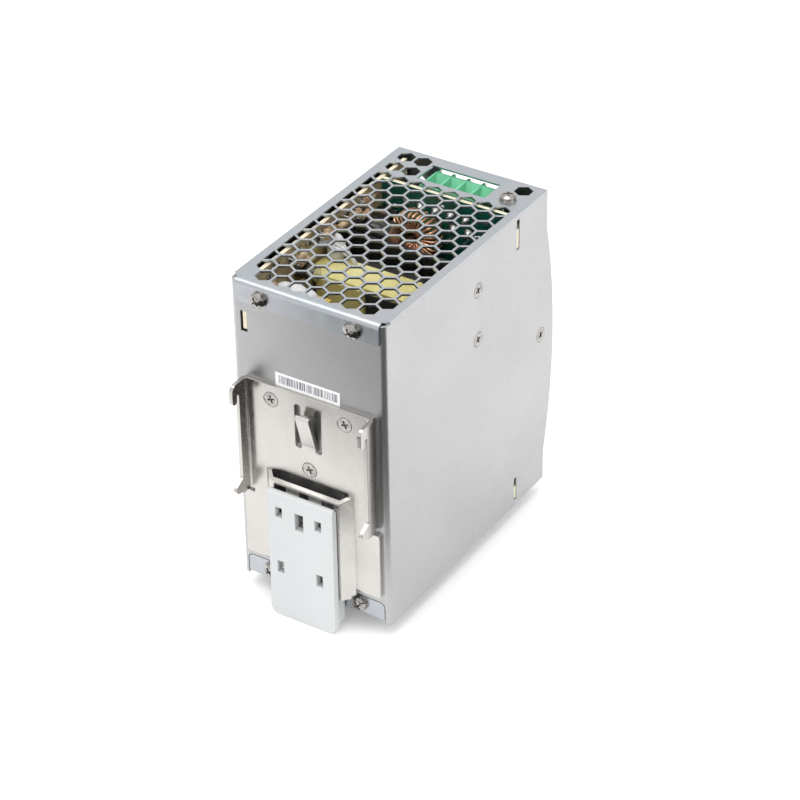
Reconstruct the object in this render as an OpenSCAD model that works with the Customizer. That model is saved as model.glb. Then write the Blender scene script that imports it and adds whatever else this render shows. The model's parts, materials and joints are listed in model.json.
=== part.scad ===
// Power supply for a 35 mm top-hat rail, in a bent sheet-metal case, in millimetres.
// Pieces are drawn in case coordinates: X across, Y from the front to the rear wall, Z up from the underside,
// with X and Y zero at the middle of the case. in_rail_frame() then moves each piece, so that the origin lies
// on the rail's centre line, in the plane where the bracket seats on the rail. The rear wall faces +Y.

/* [Case] */
// Width over the side walls
case_w = 63; // [62:0.5:66]
// Height over both covers
case_h = 125.2; // [124:0.2:128]
// Depth from the rear wall to the crown of the bowed front
case_d = 113.5; // [112:0.5:116]
// How far the front bows out
front_bow = 5.7; // [4.5:0.1:6]
// Height of the bowed stretch of the front
bow_h = 98; // [92:1:100]
// Thickness of the case sheet
sheet_t = 1; // [0.8:0.1:1.2]
// Outer radius of the sheet's bends
bend_r = 2; // [1.5:0.1:2.5]

/* [Covers] */
// Thickness of the covers' sheet
cover_t = 0.8; // [0.7:0.1:1]
// Height of the top cover's flange on the rear wall
top_flange_h = 8.2; // [8:0.1:9]
// Height of the bottom cover's flange in the rear wall
base_flange_h = 8.6; // [8:0.1:9.5]
// Spacing of the honeycomb's holes
hex_pitch = 7.08; // [6.8:0.02:7.2]
// Width of a honeycomb hole across its flats
hex_flat = 6.2; // [5:0.1:6.3]
// Number of rows of holes
hex_rows = 14; // [10:1:14]

/* [Rail bracket] */
// Height of the rail
rail_h = 35; // [35:0.1:35.3]
// Thickness of the bracket's sheet
bracket_t = 1.5; // [1.2:0.1:1.6]
// Width over the bracket's two hooks
hooks_w = 54.4; // [52:0.2:55]
// How far the rail seat stands off the rear wall
seat_out = 5.75; // [5.5:0.05:6.2]
// How far the latch slides down to let go of the rail
latch_travel = 3.5; // [2.5:0.1:3.6]

/* [Terminals] */
// Spacing of the terminals
way_pitch = 6.35; // [6.2:0.05:6.5]
// How far a clamp moves when its screw is turned home
clamp_travel = 2.5; // [2:0.1:2.6]

/* [Hidden] */
$fn = 40;

half_w = case_w / 2;
rear_y = case_d / 2;
crown_y = -case_d / 2;
front_y = crown_y + front_bow;
inner_w = case_w - 2 * sheet_t;
wall_top = case_h - cover_t;
bow_z = 61;
bow_r = (pow(bow_h / 2, 2) + pow(front_bow, 2)) / (2 * front_bow);
seat_y = rear_y + seat_out;
rail_z = 64.6;
gap = 0.05;
big = 200;

// Screws: M3, with their hole a little larger than the shank
shank_r = 1.45;
hole_r = 1.5;
flat_head_r = 2.85;
sink_r = 3.1;

// The latch, in case coordinates
latch_top = rail_z - rail_h / 2 + 1;
latch_face = rear_y + 8.6;
latch_low = -6.2;
plate_y = rear_y + bracket_t;
channel_front = rear_y + 5.6;
channel_z = 51.4;

// The terminal blocks: the output block is drawn and the input block is its mirror image
output_ways = 4;
input_ways = 3;
block_x0 = -13.8;
block_z0 = 106.5;
block_z1 = 122.6;
block_rear = -31.15;
block_front = -49.9;
screw_z = 111.8;
board_y = -31.1;
board_t = 1.6;

// Places of the honeycomb and of the screws
hex_first_y = 50.4;
hex_margin = 28.1;
row_step = hex_pitch * sqrt(3) / 2;
loose_hexes = [[17.7, -37.4], [24.8, -37.4], [17.7, -45.6], [24.8, -45.6], [-24.6, -45.8]];
opening_x = [-15.2, 13.2];
opening_y = [-45.5, -34.4];
flange_screw_x = 19;
top_screw_z = 120;
base_screw_z = 5.3;
cover_screw_xy = [-22.7, -38];
bracket_holes = [[-15.3, 81], [15.3, 81], [0, 56.7]];
wall_screws = [[-3.3, 107.9], [-3.3, 87.7]];
panel_screw = [-47.8, 65.8];
slit_y = -30.3;
slit_half_w = 0.95;
slits_z = [[2.2, 11.9], [111, 123.1]];
rear_slit = [[24.9, 104.6], [27.6, 112.8]];

// The bottom cover's flange and the gap around it in the rear wall
flange_half_w = 29.2;
flange_gap = 0.3;
flange_r = 2;

// ---------------------------------------------------------------- helpers

// From case coordinates to the frame whose origin is on the rail
module in_rail_frame() {
    translate([0, -seat_y, -rail_z]) children();
}

// A box from its lowest to its highest corner
module block(low, high) {
    translate(low) cube(high - low);
}

// Sweeps an outline drawn in Y and Z along X, between x0 and x1
module across(x0, x1) {
    translate([x0, 0, 0]) rotate([90, 0, 90]) linear_extrude(x1 - x0) children();
}

// Sweeps an outline drawn in X and Z along Y, between y0 and y1
module along(y0, y1) {
    translate([0, y1, 0]) rotate([90, 0, 0]) linear_extrude(y1 - y0) children();
}

// A cylinder lying along Y
module rod_y(p, r, y0, y1) {
    translate([p[0], y1, p[1]]) rotate([90, 0, 0]) cylinder(r = r, h = y1 - y0);
}

// A cylinder lying along X
module rod_x(p, r, x0, x1) {
    translate([x0, p[0], p[1]]) rotate([0, 90, 0]) cylinder(r = r, h = x1 - x0);
}

// A rectangle with round corners, from its lowest to its highest corner
module round_box(low, high, r) {
    translate([low[0] + r, low[1]]) square([high[0] - low[0] - 2 * r, high[1] - low[1]]);
    translate([low[0], low[1] + r]) square([high[0] - low[0], high[1] - low[1] - 2 * r]);
    for (x = [low[0] + r, high[0] - r], y = [low[1] + r, high[1] - r]) translate([x, y]) circle(r);
}

// Cross-shaped drive, cut downwards from Z = 0
module cross_drive(span, slot_w, depth) {
    for (turn = [0, 90]) rotate(turn) block([-span / 2, -slot_w / 2, -depth], [span / 2, slot_w / 2, 1]);
}

// Countersunk screw whose head is flush with Z = 0, pointing down
module flat_screw(head_r, head_h, length) {
    difference() {
        union() {
            translate([0, 0, -head_h]) cylinder(r1 = shank_r, r2 = head_r, h = head_h);
            translate([0, 0, -length]) cylinder(r = shank_r, h = length - head_h);
        }
        rotate(20) cross_drive(3, 0.7, 0.7);
    }
}

// Pan-head screw with a thin collar, which seats at Z = 0 and points down
module pan_screw(length) {
    difference() {
        union() {
            cylinder(r = 3.3, h = 0.4);
            intersection() {
                cylinder(r = 2.9, h = 2.4);
                translate([0, 0, -2.6]) sphere(5);
            }
            translate([0, 0, -length]) cylinder(r = shank_r, h = length);
        }
        translate([0, 0, 2.4]) rotate(35) cross_drive(3.4, 0.75, 1.4);
    }
}

// ---------------------------------------------------------------- case

// Side view of the case in Y and Z, set in from the front edge
module side_outline(inset) {
    translate([front_y + inset, 0]) square([rear_y - front_y - inset, wall_top]);
    intersection() {
        translate([crown_y + bow_r, bow_z]) circle(bow_r - inset, $fn = 200);
        translate([crown_y - 1, bow_z - bow_h / 2]) square([front_bow + 4, bow_h]);
    }
}

// Plan of the bent shell: rear wall and two side walls, open to the front
module shell_plan(w, back, r) {
    translate([-w / 2, -70]) square([w, 70 + back - r]);
    translate([-w / 2 + r, -70]) square([w - 2 * r, 70 + back]);
    for (side = [-1, 1]) translate([side * (w / 2 - r), back - r]) circle(r);
}

module housing_shell() color("darkgray") in_rail_frame() {
    difference() {
        intersection() {
            linear_extrude(wall_top) difference() {
                shell_plan(case_w, rear_y, bend_r);
                shell_plan(inner_w, rear_y - sheet_t, bend_r - sheet_t);
            }
            across(-half_w, half_w) side_outline(0);
        }
        // the top cover's bend lies over the rear wall's lowered edge
        block([-29.6, rear_y - 1.5, case_h - bend_r - gap], [29.6, rear_y + 1, wall_top + 1]);
        // the bottom cover's flange lies in a cut-out of the rear wall
        along(rear_y - 1.5, rear_y + 1)
            round_box([-flange_half_w - flange_gap, -6],
                      [flange_half_w + flange_gap, base_flange_h + flange_gap], flange_r + flange_gap);
        for (x = [-flange_screw_x, flange_screw_x]) rod_y([x, top_screw_z], hole_r, rear_y - 2, rear_y + 1);
        for (p = bracket_holes) rod_y(p, hole_r, rear_y - 2, rear_y + 1);
        along(rear_y - 2, rear_y + 1) translate(rear_slit[0]) square(rear_slit[1] - rear_slit[0]);
        for (side = [-1, 1], z = slits_z) {
            translate([side * half_w, 0, 0])
                block([-2, slit_y - slit_half_w, z[0]], [2, slit_y + slit_half_w, z[1]]);
        }
        for (p = wall_screws) sink_in_wall(-1, p);
        for (side = [-1, 1]) sink_in_wall(side, panel_screw);
    }
    // threaded tabs behind the bottom cover's flange
    for (side = [-1, 1]) mirror([side < 0 ? 1 : 0, 0, 0]) difference() {
        block([13, rear_y - cover_t - gap - sheet_t, 1.4], [inner_w / 2 + 0.2, rear_y - cover_t - gap, 11]);
        rod_y([flange_screw_x, base_screw_z], hole_r, rear_y - 3, rear_y);
    }
}

// Countersunk hole in a side wall, at p in Y and Z
module sink_in_wall(side, p) {
    translate([side * half_w, p[0], p[1]]) rotate([0, side * 90, 0]) {
        translate([0, 0, -sheet_t]) cylinder(r1 = hole_r, r2 = sink_r, h = sheet_t);
        translate([0, 0, -3]) cylinder(r = hole_r, h = 6);
    }
}

// One honeycomb hole, with two of its corners along Y
module hex_hole(p) {
    translate(p) rotate(30) circle(r = hex_flat / sqrt(3), $fn = 6);
}

// The honeycomb: rows of holes, each set half a hole from the last, cut off straight at the side margins
module honeycomb() {
    intersection() {
        for (row = [0 : hex_rows - 1]) {
            odd = row % 2;
            reach = row == 0 ? 3 : 4;
            for (k = [-reach : reach - odd]) {
                hex_hole([(k + odd / 2) * hex_pitch, hex_first_y - row * row_step]);
            }
        }
        translate([-hex_margin, -60]) square([2 * hex_margin, 120]);
    }
    for (p = loose_hexes) hex_hole(p);
}

// Plan of everything cut through a cover, with the terminal opening's right edge at right_x
module cover_cuts(right_x) {
    honeycomb();
    translate([opening_x[0], opening_y[0]]) square([right_x - opening_x[0], opening_y[1] - opening_y[0]]);
    translate(cover_screw_xy) circle(1.7);
}

// Side view in Y and Z of a plate at the top of the case with its flange bent down behind it
module bent_plate(z_top, back, flange_h) {
    translate([front_y, z_top - cover_t]) square([back - bend_r - front_y, cover_t]);
    translate([back - cover_t, z_top - flange_h]) square([cover_t, flange_h - bend_r]);
    intersection() {
        translate([back - bend_r, z_top - bend_r]) difference() {
            circle(bend_r);
            circle(bend_r - cover_t);
        }
        translate([back - bend_r, z_top - bend_r]) square(bend_r);
    }
}

module top_cover() color("lightsteelblue") in_rail_frame() {
    difference() {
        across(-half_w, half_w) bent_plate(case_h, rear_y + cover_t, top_flange_h);
        linear_extrude(big) cover_cuts(opening_x[1]);
        // the rear corners are notched around the bends of the case
        for (side = [-1, 1]) mirror([side < 0 ? 1 : 0, 0, 0]) linear_extrude(big)
            polygon([[29.4, 60], [29.4, 55], [half_w + 0.5, 53.2], [half_w + 2, 60]]);
        for (x = [-flange_screw_x, flange_screw_x]) rod_y([x, top_screw_z], 1.7, rear_y - 1, rear_y + 3);
    }
}

module bottom_cover() color("lightsteelblue") in_rail_frame() {
    difference() {
        lower_side() across(-inner_w / 2 + gap, inner_w / 2 - gap) bent_plate(case_h, rear_y, base_flange_h);
        translate([0, 0, -10]) linear_extrude(20) cover_cuts(block_x0 + input_ways * way_pitch + 1.2);
        for (x = [-flange_screw_x, flange_screw_x]) rod_y([x, base_screw_z], 1.7, rear_y - 2, rear_y + 1);
        // the flange is narrower than the plate and has round upper corners
        along(rear_y - 2.3, rear_y + 1) difference() {
            translate([-case_w, -5]) square([2 * case_w, 30]);
            round_box([-flange_half_w, -10], [flange_half_w, base_flange_h], flange_r);
        }
    }
}

// ---------------------------------------------------------------- front

panel_inset = 0.4;

module front_panel() color("gainsboro") in_rail_frame() {
    difference() {
        union() {
            across(-inner_w / 2 + gap, inner_w / 2 - gap) intersection() {
                difference() {
                    side_outline(panel_inset);
                    side_outline(panel_inset + sheet_t);
                }
                translate([crown_y, cover_t + gap]) square([front_bow + 2, wall_top - cover_t - 2 * gap]);
            }
            // flanges along the side walls, wider at the top and bottom
            for (side = [-1, 1]) mirror([side < 0 ? 1 : 0, 0, 0])
                across(inner_w / 2 - sheet_t - gap, inner_w / 2 - gap) intersection() {
                    side_outline(panel_inset + sheet_t / 2);
                    union() {
                        translate([crown_y, cover_t + gap])
                            square([-43.5 - crown_y, wall_top - cover_t - 2 * gap]);
                        translate([crown_y, wall_top - 12]) square([-33.5 - crown_y, 12 - gap]);
                        translate([crown_y, cover_t + gap]) square([-33.5 - crown_y, 12]);
                    }
                }
            // tabs under the covers for the two cover screws
            for (z = [cover_t + gap, wall_top - sheet_t - gap])
                block([-inner_w / 2 + gap, -42.3, z], [-18.8, -33.7, z + sheet_t]);
        }
        translate([0, 0, -1]) linear_extrude(big) translate(cover_screw_xy) circle(hole_r);
        terminal_window(output_ways);
        lower_side() terminal_window(input_ways);
        rod_y(led_xz, 1.7, -60, -45);
        rod_y(pot_xz, 2.6, -60, -45);
        for (side = [-1, 1]) rod_x(panel_screw, hole_r, side * 30 - 2, side * 30 + 2);
    }
}

// Mirrors a piece from the upper to the lower half of the case
module lower_side() {
    translate([0, 0, case_h]) mirror([0, 0, 1]) children();
}

module terminal_window(ways) {
    block([block_x0 - 0.2, -60, block_z0 - 0.4], [block_x0 + ways * way_pitch + 1, -48, block_z1]);
}

module front_label() color("whitesmoke") in_rail_frame() {
    across(-25, 25) intersection() {
        difference() {
            side_outline(panel_inset - 0.15);
            side_outline(panel_inset);
        }
        translate([crown_y, 26]) square([front_bow, 72]);
    }
}

module serial_sticker() color("white") in_rail_frame() {
    block([-12.7, rear_y, plate_top + gap], [13.9, rear_y + 0.15, 92.3]);
}

// ---------------------------------------------------------------- bracket and latch

plate_top = 86.8;
plate_low = 11.5;
beak_y = seat_y + 3.8;
web_tops = [41, 16.8];
web_h = 1.8;
window_rows = [
    [44.4, 49], [21.2, 26],
    for (top = web_tops) [top - web_h - latch_travel - 0.5, top + 0.2]
];
window_x = [[-12.6, -7.5], [-2, 2], [7.5, 12.6]];
tongue_root = 65.6;
tongue_tip = 80.8;
spring_low = 19.5;
spring_high = 31;
spring_y = rear_y + 2.05;

// Side view of a hook flange in Y and Z: seat, hook over the rail's upper lip, lug below its lower edge
module hook_outline() {
    rail_top = rail_z + rail_h / 2;
    difference() {
        union() {
            translate([rear_y, 40]) square([seat_out, plate_top - 40]);
            translate([seat_y - 1, rail_top]) square([beak_y - seat_y - 1, plate_top - rail_top]);
            translate([seat_y + 1.3, rail_top - 2]) square([2.5, 4]);
            translate([seat_y + 2.55, rail_top - 2]) circle(1.25);
            translate([beak_y - 2.5, plate_top - 2.5]) circle(2.5);
            polygon([[rear_y, 39.5], [seat_y + 3, 41.3], [seat_y + 4, 42.4], [seat_y + 3.9, 44.4],
                     [seat_y, 46.4], [rear_y, 46.4]]);
            translate([seat_y + 2.9, 42.9]) circle(1.3);
        }
        translate([seat_y, rail_top - 10]) square([1.3, 10]);
        difference() {
            translate([beak_y - 2.5, plate_top - 2.5]) square(3);
            translate([beak_y - 2.5, plate_top - 2.5]) circle(2.5);
        }
    }
}

// Plan of the channel pressed out of the bracket: half widths at its root and at its front wall
module channel_plan(low, out, root, front) {
    polygon([[-root, rear_y + low - 0.15], [-root, rear_y + low], [-front, rear_y + out],
             [front, rear_y + out], [root, rear_y + low], [root, rear_y + low - 0.15]]);
}

module din_bracket() color("silver") in_rail_frame() {
    out = channel_front - rear_y;
    difference() {
        union() {
            // flat plate, wider below the hooks, with a relief cut at each bend
            along(rear_y, plate_y) difference() {
                union() {
                    translate([-hooks_w / 2 + 1, 40.3]) square([hooks_w - 2, plate_top - 40.3]);
                    round_box([-28.6, plate_low], [28.6, 38.7], 1);
                    translate([-24, 30]) square([48, 20]);
                }
                for (side = [-1, 1]) translate([side * flange_screw_x, base_screw_z + 1.2]) circle(5.6);
            }
            for (side = [-1, 1]) mirror([side < 0 ? 1 : 0, 0, 0]) {
                across(hooks_w / 2 - bracket_t, hooks_w / 2) difference() {
                    hook_outline();
                    translate([rear_y - 1, 30]) square([2.5, 60]);
                }
                // round bend between the plate and the flange
                translate([hooks_w / 2 - 2.5, rear_y + 2.5, 40.3]) linear_extrude(plate_top - 40.3)
                    intersection() {
                        difference() {
                            circle(2.5);
                            circle(1);
                        }
                        translate([0, -2.5]) square(2.5);
                    }
            }
            difference() {
                translate([0, 0, 8]) linear_extrude(channel_z - 8) difference() {
                    channel_plan(bracket_t, out, 18.3, 14.7);
                    channel_plan(0, out - bracket_t, 17.6, 14);
                }
                // the rim slopes a little towards the rail
                translate([-30, rear_y, channel_z + 0.9]) rotate([-22, 0, 0]) cube([60, 20, 10]);
            }
        }
        // the channel's feet stand clear of the bottom cover's screws
        for (side = [-1, 1]) rod_y([side * flange_screw_x, base_screw_z], 4.2, rear_y, plate_y + 1.2);
        // room for the latch inside the channel
        along(rear_y - 1, plate_y + gap) union() {
            round_box([-13.9, 40], [13.9, channel_z + 0.9], 3);
            translate([-17.2, 5]) square([34.4, 42.5]);
        }
        for (row = window_rows, x = window_x)
            block([x[0], channel_front - 3, row[0]], [x[1], channel_front + 1, row[1]]);
        for (p = bracket_holes) translate([p[0], plate_y, p[1]]) rotate([-90, 0, 0]) {
            translate([0, 0, -bracket_t]) cylinder(r1 = 1.6, r2 = sink_r, h = bracket_t + 0.01);
            translate([0, 0, -3]) cylinder(r = 1.6, h = 4);
        }
        // slots that free the spring tongue
        along(rear_y - 1, plate_y + 1) {
            for (x = [-5.5, 2.9]) round_box([x, 64.8], [x + 2.6, 82.8], 1.1);
            translate([-4, 66.5]) square([8, 12.5]);
        }
    }
    // spring tongue that presses on the rail, and the shelf under the latch's spring
    across(-2.8, 2.8) polygon([
        [rear_y, tongue_root], [plate_y, tongue_root], [plate_y, tongue_root + 0.8],
        [seat_y - 0.9, tongue_tip - 2.8], [seat_y - 0.2, tongue_tip - 0.8], [seat_y - 1.1, tongue_tip],
        [seat_y - 2.4, tongue_tip - 2.2], [rear_y, tongue_root + 1.7]
    ]);
    block([-1.9, rear_y + 0.6, spring_low - bracket_t], [1.9, channel_front - 1, spring_low]);
}

module bracket_screws() color("silver") in_rail_frame() {
    for (p = bracket_holes) translate([p[0], plate_y - 0.1, p[1]]) rotate([-90, 0, 0])
        flat_screw(flat_head_r, 1.3, 7);
}

module latch_slider() color("white") in_rail_frame() {
    holes = [[[-9, 37.4], [-6.2, 41.7]], [[7.6, 37.4], [10.4, 41.7]], [[-1.4, 34.5], [2.2, 41.7]],
             [[-9, 13.2], [-6.2, 18.3]], [[7.6, 13.2], [10.4, 18.3]]];
    difference() {
        union() {
            // front plate, with a lip that catches behind the rail's lower lip
            difference() {
                along(channel_front + 0.3, latch_face) {
                    round_box([-13.7, latch_low], [13.7, 30], 3.2);
                    translate([-13.7, 10]) square([27.4, latch_top - 10]);
                }
                // the lip stands clear of the rail's lip in front of it
                block([-20, rear_y, rail_z - rail_h / 2 - 0.5], [20, seat_y + 1.2, 60]);
                // bevelled top edge
                translate([-20, latch_face - 0.6, latch_top + 0.4]) rotate([-45, 0, 0]) cube([40, 5, 5]);
                translate([-20, latch_face, latch_top - 1.2]) rotate([25, 0, 0]) cube([40, 5, 5]);
            }
            // foot under the channel, and the tongue inside it
            block([-12.6, rear_y + 0.6, -3.6], [12.6, channel_front + 0.5, 6.8]);
            block([-5.6, rear_y + 0.7, 0], [5.6, rear_y + 3.4, 34]);
            // webs through the bracket's windows and their catches
            for (top = web_tops, side = [-1, 1]) mirror([side < 0 ? 1 : 0, 0, 0]) {
                block([8.3, rear_y + 2.4, top - web_h], [12, channel_front + 0.5, top]);
                block([7, rear_y + 1.6, top - web_h], [12.9, rear_y + 3.5, top]);
            }
        }
        // window in the tongue for the spring, and openings left by the mould's cores
        block([-2.6, rear_y, spring_low - bracket_t - 0.5], [2.6, channel_front, spring_high]);
        for (h = holes) block([h[0][0], channel_front, h[0][1]], [h[1][0], big, h[1][1]]);
        // slot for a screwdriver at the foot
        block([-4, channel_front - 0.6, latch_low + 1.8], [4, channel_front + 1.4, latch_low + 4.4]);
    }
}

// Coil of round wire, swept as rings of points joined into one closed skin
module latch_spring() color("dimgray") in_rail_frame() {
    turns = 8;
    per_turn = 18;
    sides = 8;
    wire_r = 0.22;
    coil_r = 1.3;
    steps = turns * per_turn;
    rise = spring_high - spring_low - 2 * wire_r - 0.1;
    points = [
        for (i = [0 : steps], k = [0 : sides - 1])
            let (a = i * 360 / per_turn, b = k * 360 / sides, r = coil_r + wire_r * cos(b))
                [r * cos(a), r * sin(a), rise * i / steps + wire_r * sin(b)]
    ];
    faces = concat(
        [[for (k = [0 : sides - 1]) k]],
        [for (i = [0 : steps - 1], k = [0 : sides - 1])
            let (a = i * sides + k, b = i * sides + (k + 1) % sides) [a, a + sides, b + sides, b]],
        [[for (k = [sides - 1 : -1 : 0]) steps * sides + k]]
    );
    translate([0, spring_y, spring_low + wire_r + 0.05]) polyhedron(points, faces);
}

// ---------------------------------------------------------------- fasteners

module cover_screws() color("silver") in_rail_frame() {
    for (x = [-flange_screw_x, flange_screw_x]) {
        translate([x, rear_y + cover_t, top_screw_z]) rotate([-90, 0, 0]) pan_screw(5);
        translate([x, rear_y, base_screw_z]) rotate([-90, 0, 0]) pan_screw(5);
    }
    translate([cover_screw_xy[0], cover_screw_xy[1], case_h]) pan_screw(5);
    translate([cover_screw_xy[0], cover_screw_xy[1], 0]) rotate([180, 0, 0]) pan_screw(5);
}

module side_screws() color("silver") in_rail_frame() {
    for (p = wall_screws) wall_screw(-1, p, 4.2);
    for (side = [-1, 1]) wall_screw(side, panel_screw, 4.2);
}

module wall_screw(side, p, length) {
    translate([side * (half_w - 0.06), p[0], p[1]]) rotate([0, side * 90, 0])
        flat_screw(flat_head_r, sheet_t - 0.1, length);
}

// ---------------------------------------------------------------- boards

board_x = 25.2;
board_front = -46.5;
boards_top = 124;
standoffs = [[46, 12], [46, 77.3], [-24, 12], [-24, 66]];
link_z = [40, 50];
led_xz = [15.2, 114];
pot_xz = [21.6, 114];

module main_board() color("wheat") in_rail_frame() {
    difference() {
        union() {
            block([board_x, board_front, 4], [board_x + board_t, 52.5, boards_top]);
            // tab through the rear wall
            block([board_x, 50, rear_slit[0][1] + 1],
                  [board_x + board_t, rear_y - 0.3, rear_slit[1][1] - 0.2]);
        }
        for (p = standoffs) rod_x(p, 1.7, 20, 30);
        // windows that the front board's tabs pass through
        for (z = slits_z) block([20, board_y - gap, z[0] + 0.4], [30, board_y + board_t + gap, z[1] - 0.4]);
    }
}

module front_board() color("seagreen") in_rail_frame() {
    difference() {
        union() {
            block([-29.2, board_y, 3.2], [board_x - gap, board_y + board_t, boards_top]);
            for (z = slits_z) {
                block([-half_w + 0.2, board_y, z[0] + 0.5], [-29, board_y + board_t, z[1] - 4]);
                block([board_x - 1, board_y, z[0] + 0.5], [half_w - 0.2, board_y + board_t, z[1] - 0.5]);
            }
        }
        contact_pins(output_ways, 0.65);
        lower_side() contact_pins(input_ways, 0.65);
    }
}

module board_link() color("black") in_rail_frame() {
    block([20, board_y + board_t + gap, link_z[0]], [board_x - gap, board_y + board_t + 7, link_z[1]]);
}

module board_standoffs() color("goldenrod") in_rail_frame() {
    for (p = standoffs) difference() {
        translate([board_x + board_t + gap, p[0], p[1]]) rotate([0, 90, 0])
            cylinder(r = 3.2, h = inner_w / 2 - board_x - board_t - 2 * gap, $fn = 6);
        rod_x(p, hole_r, 20, 30);
    }
}

module board_screws() color("silver") in_rail_frame() {
    for (p = standoffs) translate([board_x, p[0], p[1]]) rotate([0, -90, 0]) pan_screw(4.5);
}

module insulation_sheet() color("tan") in_rail_frame() {
    difference() {
        block([27.6, -45.5, 3], [28, 54, 122.6]);
        for (p = standoffs) rod_x(p, 3.6, 27, 29);
        for (z = slits_z) block([27, slit_y - 1.2, z[0]], [29, slit_y + 1.2, z[1]]);
    }
}

// ---------------------------------------------------------------- terminals

clamp_front = -45.4;

// Middle of way number i, counted from 0
function way_x(i) = block_x0 + 0.4 + (i + 0.5) * way_pitch;

// Green body with a funnel, a wire hole, a clamp chamber and a screw bore for each way
module terminal_body(ways) {
    x1 = block_x0 + ways * way_pitch + 0.8;
    difference() {
        across(block_x0, x1) polygon([[block_rear, block_z0], [block_rear, 116.8], [-33.8, 117.4],
            [-33.8, block_z1], [-46, block_z1], [-46, 118.6], [-48.8, 117.4],
            [block_front, 116.4], [block_front, block_z0]]);
        for (i = [0 : ways - 1]) translate([way_x(i), 0, 0]) {
            hull() {
                block([-2.75, -45.2, block_z1 - 0.01], [2.75, -34.6, block_z1 + 0.5]);
                block([-1.7, -41.6, 117.5], [1.7, -38.4, 117.6]);
            }
            block([-1.7, -41.6, 110], [1.7, -38.4, 118]);
            block([-2.7, clamp_front - clamp_travel - 0.3, 108.1], [2.7, -36.2, 115.5]);
            block([-1.4, -42.8, block_z0 + 0.3], [1.4, block_rear - 1, 108.5]);
            block([-1.4, block_rear - 1.2, block_z0 + 0.3], [1.4, block_rear + 1, block_z0 + 1.4]);
            rod_y([0, screw_z], 2.05, block_front - 1, -48);
        }
    }
    // ribs that part the ways in front of the funnels
    for (i = [0 : ways]) translate([block_x0 + i * way_pitch, 0, 0])
        across(0, 0.8) polygon([[-45.9, 118], [-45.9, block_z1], [-48, block_z1 - 0.2],
                                [-49.2, 119], [-48.7, 117.2]]);
}

// Bars that the wires are clamped against, each with a pin through the board
module contacts(ways) {
    for (i = [0 : ways - 1]) translate([way_x(i), 0, 0]) {
        block([-1.3, -42.7, block_z0 + 0.4], [1.3, -41.9, 114.9]);
        block([-1.3, -42.7, block_z0 + 0.4], [1.3, block_rear, block_z0 + 1.2]);
    }
    contact_pins(ways, 0.6);
}

module contact_pins(ways, r) {
    for (i = [0 : ways - 1]) rod_y([way_x(i), block_z0 + 0.8], r, block_rear - 0.5, board_y + board_t + 1.2);
}

// Slotted clamp screw of way number i
module clamp_screw(i) {
    x = way_x(i);
    difference() {
        union() {
            rod_y([x, screw_z], 2, -49.8, -48.35);
            rod_y([x, screw_z], 1.25, -48.5, -42.85);
        }
        block([x - 2.5, -50.5, screw_z - 0.35], [x + 2.5, -49, screw_z + 0.35]);
        block([x - 0.35, -50.5, screw_z - 1.2], [x + 0.35, -49, screw_z + 1.2]);
    }
}

// Clamp cage of way number i: the wire passes down through it and the screw pulls it to the front
module clamp_cage(i) {
    x = way_x(i);
    difference() {
        block([x - 2.45, clamp_front, 108.45], [x + 2.45, -36.6, 115.2]);
        block([x - 1.65, -43, 108], [x + 1.65, -37.6, 116]);
        rod_y([x, screw_z], 1.31, clamp_front - 1, -42);
    }
}

module output_terminal_body() color("mediumseagreen") in_rail_frame() terminal_body(output_ways);
module output_contacts() color("silver") in_rail_frame() contacts(output_ways);
module output_screw_1() color("silver") in_rail_frame() clamp_screw(0);
module output_screw_2() color("silver") in_rail_frame() clamp_screw(1);
module output_screw_3() color("silver") in_rail_frame() clamp_screw(2);
module output_screw_4() color("silver") in_rail_frame() clamp_screw(3);
module output_clamp_1() color("silver") in_rail_frame() clamp_cage(0);
module output_clamp_2() color("silver") in_rail_frame() clamp_cage(1);
module output_clamp_3() color("silver") in_rail_frame() clamp_cage(2);
module output_clamp_4() color("silver") in_rail_frame() clamp_cage(3);

module input_terminal_body() color("mediumseagreen") in_rail_frame() lower_side() terminal_body(input_ways);
module input_contacts() color("silver") in_rail_frame() lower_side() contacts(input_ways);
module input_screw_1() color("silver") in_rail_frame() lower_side() clamp_screw(0);
module input_screw_2() color("silver") in_rail_frame() lower_side() clamp_screw(1);
module input_screw_3() color("silver") in_rail_frame() lower_side() clamp_screw(2);
module input_clamp_1() color("silver") in_rail_frame() lower_side() clamp_cage(0);
module input_clamp_2() color("silver") in_rail_frame() lower_side() clamp_cage(1);
module input_clamp_3() color("silver") in_rail_frame() lower_side() clamp_cage(2);

module trim_pot_body() color("royalblue") in_rail_frame() {
    difference() {
        block([pot_xz[0] - 3.2, -46.8, pot_xz[1] - 3.2], [pot_xz[0] + 3.2, board_y - gap, pot_xz[1] + 3.2]);
        rod_y(pot_xz, 1.65, -50, -44.8);
    }
}

module trim_pot_rotor() color("white") in_rail_frame() {
    difference() {
        rod_y(pot_xz, 1.6, -49, -45);
        block([pot_xz[0] - 0.3, -50, pot_xz[1] - 1.2], [pot_xz[0] + 0.3, -48.2, pot_xz[1] + 1.2]);
        block([pot_xz[0] - 1.2, -50, pot_xz[1] - 0.3], [pot_xz[0] + 1.2, -48.2, pot_xz[1] + 0.3]);
    }
}

module led_holder() color("black") in_rail_frame() {
    block([led_xz[0] - 2, -44, led_xz[1] - 2], [led_xz[0] + 2, board_y - gap, led_xz[1] + 2]);
}

module status_led() color("limegreen") in_rail_frame() {
    rod_y(led_xz, 1.5, -49.5, -44 - gap);
    translate([led_xz[0], -49.5, led_xz[1]]) sphere(1.5);
}

// ---------------------------------------------------------------- power parts

transformer_low = [-17, 2, 80];
transformer_high = [25.1, 22.2, 112];
choke_low = [-20, 30, 78];
choke_high = [2, 42, 104];
toroid_at = [7.1, -23.7, 108.5];

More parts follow.
